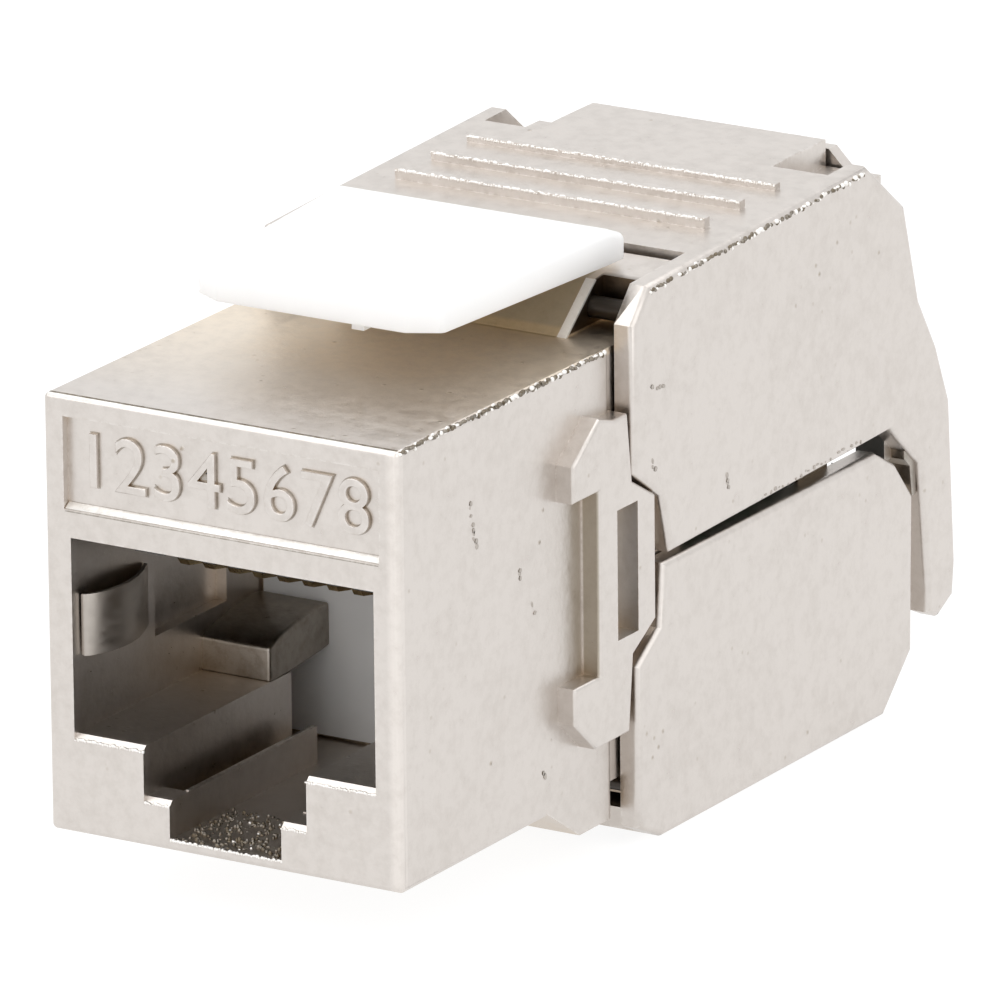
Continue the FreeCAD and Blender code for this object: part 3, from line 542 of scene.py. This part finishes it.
# bright chamfers at the front of the upper cover's side walls: painted highlight, partly rubbed
# plating
chamferSizes = {
    "profile": [(14.757, 8.706), (15.737, 9.766), (15.678, 9.82), (14.698, 8.76)],
    "inner": 7.28, "outer": 7.92, "round": 0.02, "steps": 2,
}
# webs that join the rear wall of the upper cover to its two tails
webSizes = {
    "profile": [(33.9, -1.35), (33.9, -0.5), (34.75, -0.9), (34.75, -2.9), (34.45, -2.9),
                (34.3, -1.7)],
    "inner": 6.3, "outer": 7.75, "round": 0.05, "steps": 2,
}
gapSizes = {
    "plate": [(27.2, -1.3), (27.2, 0.5), (29.3, 0.5), (29.3, -1.3)],
    "root": [(27.2, 0.4), (27.2, 1.0), (29.3, 1.0), (29.3, 0.4)],
    "inner": 7.04, "outer": 7.2, "rootOuter": 7.32, "round": 0.03,
}


def makeGapWebs(sizes):
    # dark webs inside the upper cover's side walls: painted shade that closes part of the gap to
    # the lower cover
    outlines, spans = [], []
    for key, outer in (("plate", sizes["outer"]), ("root", sizes["rootOuter"])):
        outlines += [sizes[key]] * 2
        spans += [(sizes["inner"], outer), (-outer, -sizes["inner"])]
    build = extrudeAlongX(outlines, spans)
    bevelAll(build, sizes["round"], 2)
    finishPiece("gapWebs", toMesh(build, "gapWebs"), finishes["tarnishAndShade"], "upper_cover",
                40)


linerSizes = {"front": 12.26, "rear": 12.38, "half": 6.1, "low": -7.5, "high": 1.1, "round": 0.04}


def makeLiner(sizes):
    # smooth plastic wall at the back of the port
    outline = [(sizes["front"], sizes["low"]), (sizes["front"], sizes["high"]),
               (sizes["rear"], sizes["high"]), (sizes["rear"], sizes["low"])]
    build = extrudeAlongX([outline], [(-sizes["half"], sizes["half"])])
    bevelAll(build, sizes["round"], 2)
    finishPiece("portBackLiner", toMesh(build, "portBackLiner"), finishes["liner"], "housing",
                40)


# the bow lists how far along the wall (mm) and the share of the bulge reached there
springSizes = {
    "bow": [(0.0, 0.0), (0.12, 0.2), (0.3, 0.42), (0.6, 0.66), (1.0, 0.86), (1.5, 0.98),
            (2.0, 1.0), (2.7, 0.84), (3.4, 0.48), (4.1, 0.0)],
    "bulge": 0.6, "thick": 0.17, "wall": 6.17, "front": 0.5, "round": 0.05,
}


def makeSprings(sizes):
    # bowed strips that touch the shield of a plug, smooth over their whole length
    outer = [(sizes["front"] + along, sizes["wall"] - out * sizes["bulge"])
             for along, out in sizes["bow"]]
    inner = [(along, across - sizes["thick"]) for along, across in reversed(outer)]
    for side, sign in (("left", -1), ("right", 1)):
        low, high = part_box("ground_spring_" + side)
        build = bmesh.new()
        rings = [[build.verts.new((sign * across * mm, along * mm, level))
                  for along, across in outer + inner] for level in (low[2], high[2])]
        joinRings(build, *rings)
        bmesh.ops.recalc_face_normals(build, faces=build.faces)
        bevelAll(build, sizes["round"], 2, 60)
        piece = finishPiece("groundSpring" + side.title(), toMesh(build, "groundSpring"),
                            finishes["spring"], "housing", 50)
        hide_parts("ground_spring_" + side)


# the least and the most that each ball is stretched along its axes
ballShape = {"least": (0.5, 0.5, 0.6), "most": (1.3, 1.3, 1.8), "subdivisions": 2}


def growTree(name, kind, values, shape):
    # a Geometry Nodes tree whose named inputs are the given sizes
    tree = bpy.data.node_groups.new(name, "GeometryNodeTree")
    tree.interface.new_socket("Geometry", in_out="OUTPUT", socket_type="NodeSocketGeometry")
    tree.interface.new_socket("Base", in_out="INPUT", socket_type="NodeSocketGeometry")
    for label, value in values.items():
        if isinstance(value, bpy.types.Material):
            socketType = "NodeSocketMaterial"
        else:
            socketType = "NodeSocketInt" if isinstance(value, int) else "NodeSocketFloat"
        tree.interface.new_socket(label, in_out="INPUT", socket_type=socketType)
    entry = plainNode(tree, "NodeGroupInput").outputs
    if kind == "path":
        curve = plainNode(tree, "GeometryNodeMeshToCurve", {"Mesh": entry["Base"]})
        points = plainNode(tree, "GeometryNodeCurveToPoints",
                           {"Curve": curve.outputs["Curve"], "Length": entry["Spacing"]},
                           mode="LENGTH")
    else:
        points = plainNode(tree, "GeometryNodeDistributePointsOnFaces",
                           {"Mesh": entry["Base"], "Density": entry["Density"],
                            "Seed": entry["Seed"]})
    shift = plainNode(tree, "FunctionNodeRandomValue",
                      {0: (-1.0, -1.0, -1.0), 1: (1.0, 1.0, 1.0), "Seed": entry["Seed"]},
                      data_type="FLOAT_VECTOR")
    scaled = plainNode(tree, "ShaderNodeVectorMath",
                       {0: shift.outputs[0], "Scale": entry["Jitter"]}, operation="SCALE")
    moved = plainNode(tree, "GeometryNodeSetPosition",
                      {"Geometry": points.outputs["Points"], "Offset": scaled.outputs[0]})
    stretch = plainNode(tree, "FunctionNodeRandomValue",
                        {0: shape["least"], 1: shape["most"], "Seed": entry["Seed"]},
                        data_type="FLOAT_VECTOR")
    ball = plainNode(tree, "GeometryNodeMeshIcoSphere",
                     {"Radius": entry["Size"], "Subdivisions": shape["subdivisions"]})
    placed = plainNode(tree, "GeometryNodeInstanceOnPoints",
                       {"Points": moved.outputs["Geometry"], "Instance": ball.outputs["Mesh"],
                        "Rotation": points.outputs["Rotation"], "Scale": stretch.outputs[0]})
    real = plainNode(tree, "GeometryNodeRealizeInstances",
                     {"Geometry": placed.outputs["Instances"]})
    painted = plainNode(tree, "GeometryNodeSetMaterial",
                        {"Geometry": real.outputs["Geometry"], "Material": entry["Material"]})
    plainNode(tree, "NodeGroupOutput", {"Geometry": painted.outputs["Geometry"]})
    return tree


def growPiece(name, base, kind, values, body):
    # runs the tree on the base mesh and keeps the plain result
    tree = growTree(name, kind, values, ballShape)
    carrier = bpy.data.objects.new(name + "Base", base)
    scene.collection.objects.link(carrier)
    modifier = carrier.modifiers.new("grow", "NODES")
    modifier.node_group = tree
    for item in tree.interface.items_tree:
        if item.item_type == "SOCKET" and item.in_out == "INPUT" and item.name in values:
            modifier[item.identifier] = values[item.name]
    bpy.context.view_layer.update()
    evaluated = carrier.evaluated_get(bpy.context.evaluated_depsgraph_get())
    mesh = bpy.data.meshes.new_from_object(evaluated)
    bpy.data.objects.remove(carrier)
    mesh.name = name
    return finishPiece(name, mesh, values["Material"], body, 60)


def pathMesh(name, paths):
    # paths are lists of points in mm
    mesh = bpy.data.meshes.new(name)
    points, edges = [], []
    for path in paths:
        first = len(points)
        points += [tuple(value * mm for value in point) for point in path]
        edges += [(first + index, first + index + 1) for index in range(len(path) - 1)]
    mesh.from_pydata(points, edges, [])
    return mesh


# spacings, sizes and jitters are in metres
edgeWearAndHighlightSizes = {
    "bodyEdge": [[(7.2, 0.2, 7.93), (7.2, 13.7, 7.93)]],
    "coverEdge": [[(7.95, 15.70, 9.80), (7.95, 19.41, 9.94), (7.95, 30.6, 10.28)]],
    "portEdge": [[(-6.15, 0.0, -4.54), (-3.38, 0.0, -4.54)],
                 [(3.38, 0.0, -4.54), (6.15, 0.0, -4.54)],
                 [(-3.3, 0.0, -6.39), (-2.33, 0.0, -6.39)],
                 [(2.33, 0.0, -6.39), (3.3, 0.0, -6.39)],
                 [(-2.28, 0.02, -7.62), (2.28, 0.02, -7.62)]],
    "ribCrest": [[(-6.4, along, 10.57), (6.4, along, 10.57)] for along in (22.02, 24.49, 26.96)],
    "dark": {"Spacing": 0.00010, "Size": 0.00008, "Jitter": 0.00004, "Seed": 4},
    "bright": {"Spacing": 0.00022, "Size": 0.00008, "Jitter": 0.00006, "Seed": 9},
    "rubbedAndLit": {"Spacing": 0.00010, "Size": 0.00006, "Jitter": 0.00002, "Seed": 2},
}


def makeEdgeWearAndHighlights(sizes):
    # plating worn through to dark metal along the right top edges, with bright spots of rubbed
    # plating and painted highlight
    for label, body in (("bodyEdge", "housing"), ("coverEdge", "upper_cover")):
        for shade, finish in (("dark", "tarnishAndShade"), ("bright", "bright")):
            name = label + shade.title()
            growPiece(name, pathMesh(name, sizes[label]), "path",
                      {**sizes[shade], "Material": finishes[finish]}, body)
    # the port's front edges and the crests of the cover's ribs get only bright spots: painted
    # highlights, partly rubbed plating
    for label, body in (("portEdge", "housing"), ("ribCrest", "upper_cover")):
        growPiece(label + "Bright", pathMesh(label, sizes[label]), "path",
                  {**sizes["rubbedAndLit"], "Material": finishes["bright"]}, body)


pitSizes = {
    "bodyPits": [[(7.25, 4.70, 4.9), (7.25, 4.75, 4.5)], [(7.25, 4.85, 4.1), (7.25, 5.05, 3.2)],
                 [(7.25, 7.90, 1.6), (7.25, 7.95, 1.3)], [(7.25, 8.70, 0.3), (7.25, 8.85, -0.2)],
                 [(7.25, 9.40, -6.3), (7.25, 9.45, -6.5)], [(-7.25, 6.1, 2.4), (-7.25, 6.3, 1.7)],
                 [(-7.25, 9.3, -2.0), (-7.25, 9.35, -2.4)]],
    "coverPits": [[(8.0, 15.7, 6.3), (8.0, 16.5, 6.1)], [(8.0, 15.75, 3.5), (8.0, 15.9, 3.1)],
                  [(8.0, 20.8, 1.6), (8.0, 20.95, 1.2)], [(8.0, 26.0, 3.0), (8.0, 26.1, 2.8)],
                  [(-8.0, 19.0, 5.4), (-8.0, 19.3, 5.0)], [(-8.0, 27.4, 4.3), (-8.0, 27.5, 4.0)]],
    "pit": {"Spacing": 0.00012, "Size": 0.00008, "Jitter": 0.00008, "Seed": 6},
    "coverBeads": [[(8.0, 23.3, 0.16), (8.0, 30.3, 0.37)]],
    "bead": {"Spacing": 0.00030, "Size": 0.00007, "Jitter": 0.00006, "Seed": 8},
    "rise": 0.00002,
}


def makePits(sizes):
    # small flaws of the casting, pressed flat against the side walls
    for name, kind, body in (("bodyPits", "pit", "housing"),
                             ("coverPits", "pit", "upper_cover"),
                             ("coverBeads", "bead", "upper_cover")):
        piece = growPiece(name, pathMesh(name, sizes[name]), "path",
                          {**sizes[kind], "Material": finishes["spring"]}, body)
        wall = abs(sizes[name][0][0][0]) * mm
        for vertex in piece.data.vertices:
            side = 1.0 if vertex.co.x > 0.0 else -1.0
            depth = min(max(abs(vertex.co.x) - wall, -sizes["rise"]), sizes["rise"])
            vertex.co.x = side * (wall + depth)


# densities are per square metre
grainSizes = {
    "corners": [(-2.2, 0.15, -7.63), (2.2, 0.15, -7.63), (2.2, 4.0, -7.63), (-2.2, 4.0, -7.63)],
    "dark": {"Density": 1.8e7, "Size": 0.00008, "Jitter": 0.00002, "Seed": 3},
    "bright": {"Density": 0.15e7, "Size": 0.00006, "Jitter": 0.00002, "Seed": 5},
}


def makeCastGrains(sizes):
    # rough grains on the floor of the key slot
    for shade, finish in (("dark", "tarnishAndShade"), ("bright", "bright")):
        name = "slotGrain" + shade.title()
        mesh = bpy.data.meshes.new(name)
        mesh.from_pydata([tuple(value * mm for value in corner) for corner in sizes["corners"]],
                         [], [(0, 1, 2, 3)])
        growPiece(name, mesh, "face", {**sizes[shade], "Material": finishes[finish]}, "housing")


makeDigits(digitSizes)
makeFrontLips(lipSizes)
makePair("portSteps", stepSizes, "shadowed", "housing")
makePair("railCrests", railSizes, "cover", "housing")
makePair("cheekRims", cheekSizes, "bright", "housing")
makePair("coverRims", chamferSizes, "bright", "upper_cover")
makePair("tailWebs", webSizes, "shadowed", "upper_cover")
makeGapWebs(gapSizes)
makeLiner(linerSizes)
makeSprings(springSizes)
print("small pieces made")
makeEdgeWearAndHighlights(edgeWearAndHighlightSizes)
makePits(pitSizes)
makeCastGrains(grainSizes)
print("wear and grains made")


studioSizes = {
    "floorHalf": 3.0, "floorDrop": 0.00002, "floorColour": (0.86, 0.86, 0.86, 1.0),
    "floorGlow": 0.9, "shadowColour": (0.2, 0.2, 0.2, 1.0), "white": (1.0, 1.0, 1.0, 1.0),
    "worldLight": 0.8,
}


def makeFloor(sizes):
    low = cadBox[0][2] - sizes["floorDrop"]
    half = sizes["floorHalf"]
    mesh = bpy.data.meshes.new("floor")
    corners = [(-half, -half, low), (half, -half, low), (half, half, low), (-half, half, low)]
    mesh.from_pydata(corners, [], [(0, 1, 2, 3)])
    floor = bpy.data.objects.new("floor", mesh)
    scene.collection.objects.link(floor)
    material = bpy.data.materials.new("paleFloor")
    material.use_nodes = True
    tree = material.node_tree
    tree.nodes.clear()
    # a plain pale floor to the object, a glowing white one with soft shadows to the camera
    diffuse = addNode(tree, "BsdfDiffuse", {"Color": sizes["floorColour"]})
    glow = addNode(tree, "Emission", {"Color": sizes["white"], "Strength": sizes["floorGlow"]})
    shadow = addNode(tree, "BsdfDiffuse", {"Color": sizes["shadowColour"]})
    bright = addNode(tree, "AddShader", {0: glow.outputs[0], 1: shadow.outputs[0]})
    mix = addNode(tree, "MixShader", {0: seenRays(tree), 1: diffuse.outputs[0],
                                      2: bright.outputs[0]})
    # clear from below, so that the underside can be looked at
    clear = addNode(tree, "BsdfTransparent")
    under = addNode(tree, "NewGeometry").outputs["Backfacing"]
    sided = addNode(tree, "MixShader", {0: under, 1: mix.outputs[0], 2: clear.outputs[0]})
    addNode(tree, "OutputMaterial", {"Surface": sided.outputs[0]})
    mesh.materials.append(material)


def makeWorld(sizes):
    # white to the camera, and a little dimmer as a light
    world = bpy.data.worlds.new("softRoom")
    scene.world = world
    world.use_nodes = True
    tree = world.node_tree
    tree.nodes.clear()
    strength = remap(tree, seenRays(tree), 0.0, 1.0, sizes["worldLight"], 1.0)
    back = addNode(tree, "Background", {"Color": sizes["white"], "Strength": strength})
    addNode(tree, "OutputWorld", {"Surface": back.outputs[0]})


lampSizes = {
    "key": {"place": (-0.35, -0.45, 0.55), "size": 0.7, "power": 1.8},
    "fill": {"place": (0.55, -0.25, 0.35), "size": 0.7, "power": 1.08},
    "front": {"place": (-0.05, -0.7, 0.10), "size": 0.4, "power": 0.35},
    "top": {"place": (0.0, 0.25, 0.7), "size": 0.7, "power": 1.5},
}
lampTarget = (0.0, 0.018, 0.0)


def makeLamps(sizes, target):
    for name, lamp in sizes.items():
        data = bpy.data.lights.new(name, "AREA")
        data.size = lamp["size"]
        data.energy = lamp["power"]
        light = bpy.data.objects.new(name, data)
        light.location = lamp["place"]
        aim = Vector(target) - Vector(lamp["place"])
        light.rotation_euler = aim.to_track_quat("-Z", "Y").to_euler()
        scene.collection.objects.link(light)


cameraSizes = {
    "place": (0.2670, -0.4161, 0.1610), "right": (0.85360, 0.52085, -0.00969),
    "up": (-0.14880, 0.26160, 0.95364), "forward": (-0.49924, 0.81258, -0.30079), "lens": 540.0,
    "sensor": 36.0, "nearest": 0.01,
}


def makeCamera(sizes):
    data = bpy.data.cameras.new("camera")
    data.lens = sizes["lens"]
    data.sensor_width = sizes["sensor"]
    data.clip_start = sizes["nearest"]
    camera = bpy.data.objects.new("camera", data)
    scene.collection.objects.link(camera)
    columns = [Vector(sizes["right"]), Vector(sizes["up"]), -Vector(sizes["forward"])]
    turn = Matrix(columns).transposed().to_4x4()
    camera.matrix_world = Matrix.Translation(sizes["place"]) @ turn
    scene.camera = camera


makeFloor(studioSizes)
makeWorld(studioSizes)
makeLamps(lampSizes, lampTarget)
makeCamera(cameraSizes)
print("studio ready")

bpy.context.view_layer.update()
